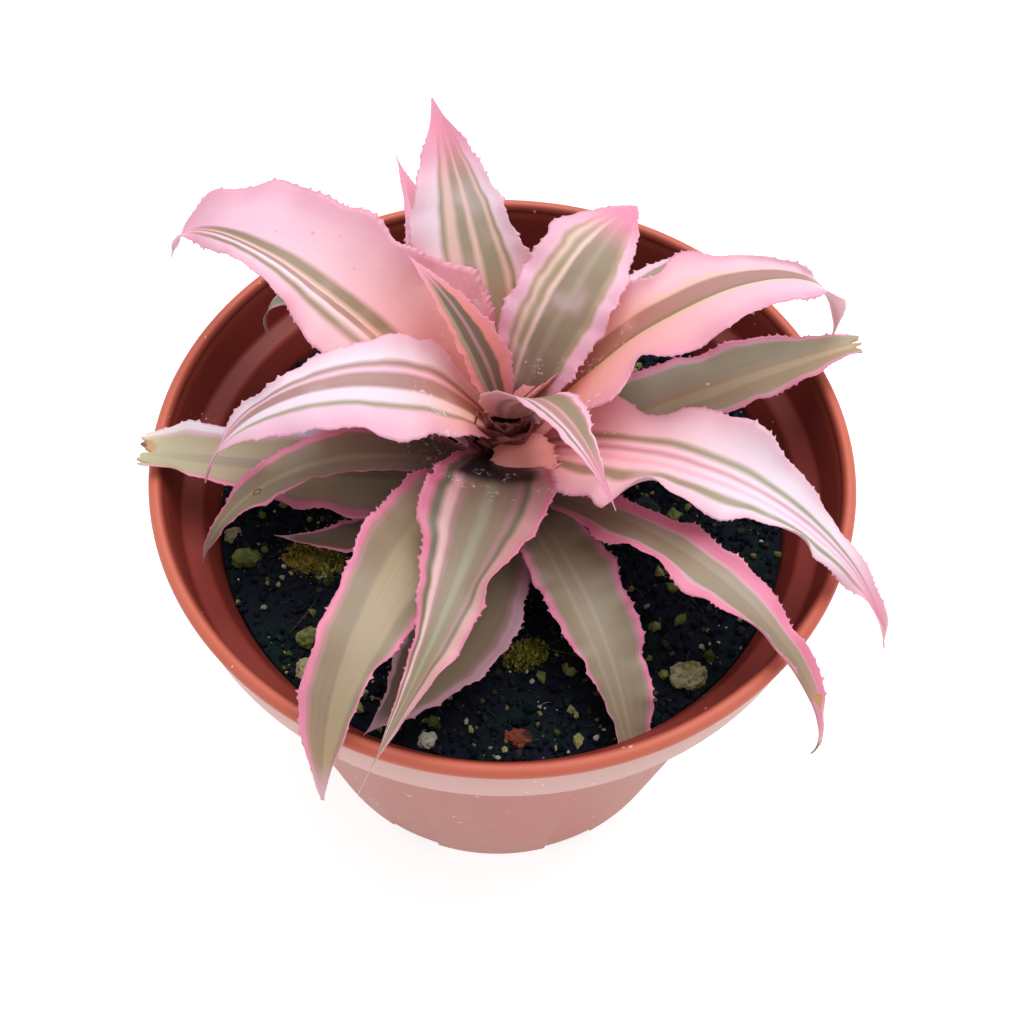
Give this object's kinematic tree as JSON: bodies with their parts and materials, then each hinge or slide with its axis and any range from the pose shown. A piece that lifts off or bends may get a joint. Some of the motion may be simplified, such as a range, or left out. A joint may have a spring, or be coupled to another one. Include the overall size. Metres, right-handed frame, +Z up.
{
  "type": "potted earth star",
  "caption": "Striped pink and green earth star rosette in a round tapered plastic nursery pot of dark peat with pumice lumps.",
  "frame": {"origin": "on the surface that the pot stands on, on the axis of the pot", "axes": "+Z up, -Y is the side that faces the viewer, +X to the viewer's right"},
  "size_m": [0.123, 0.1246, 0.1333],
  "materials": {
    "pot_plastic": "dusty satin moulding",
    "peat": "damp crumbly peat",
    "stem": "rough, covered by leaf bases",
    "leaf_pale": "waxy, striped pink and grey green",
    "leaf_olive": "waxy, olive with a pink edge",
    "pumice": "rough, tinted by algae",
    "grey_stone": "rough",
    "perlite": "rough, chalky",
    "bark": "rough",
    "moss": "fine and tufted"
  },
  "bodies": {
    "root": {"pot": "pot_plastic", "soil": "peat", "stem": "stem", "leaf_heart_roll": "leaf_pale", "leaf_heart_left": "leaf_pale", "leaf_heart_front": "leaf_pale", "leaf_upright_right": "leaf_pale", "leaf_left": "leaf_pale", "leaf_back_tall": "leaf_pale", "leaf_right_upper": "leaf_pale", "leaf_right": "leaf_pale", "leaf_left_upper": "leaf_pale", "leaf_front": "leaf_pale", "leaf_back_slim": "leaf_pale", "leaf_back": "leaf_pale", "leaf_back_left": "leaf_olive", "leaf_front_left": "leaf_olive", "leaf_back_right": "leaf_pale", "leaf_right_low": "leaf_olive", "leaf_left_dark": "leaf_olive", "leaf_right_cut": "leaf_olive", "leaf_front_right": "leaf_olive", "leaf_left_cut": "leaf_olive", "leaf_front_low": "leaf_olive", "leaf_left_small": "leaf_olive", "pumice_large": "pumice", "pumice_right": "pumice", "pumice_right_small": "pumice", "stone_grey": "grey_stone", "pumice_heart": "pumice", "pumice_side": "pumice", "pumice_behind": "pumice", "pumice_back_left": "pumice", "pumice_left": "pumice", "pumice_left_small": "pumice", "pumice_front_left": "pumice", "pumice_edge_left": "pumice", "perlite_front": "perlite", "bark_chip": "bark", "moss_left": "moss", "moss_front": "moss"}
  },
  "joints": []
}
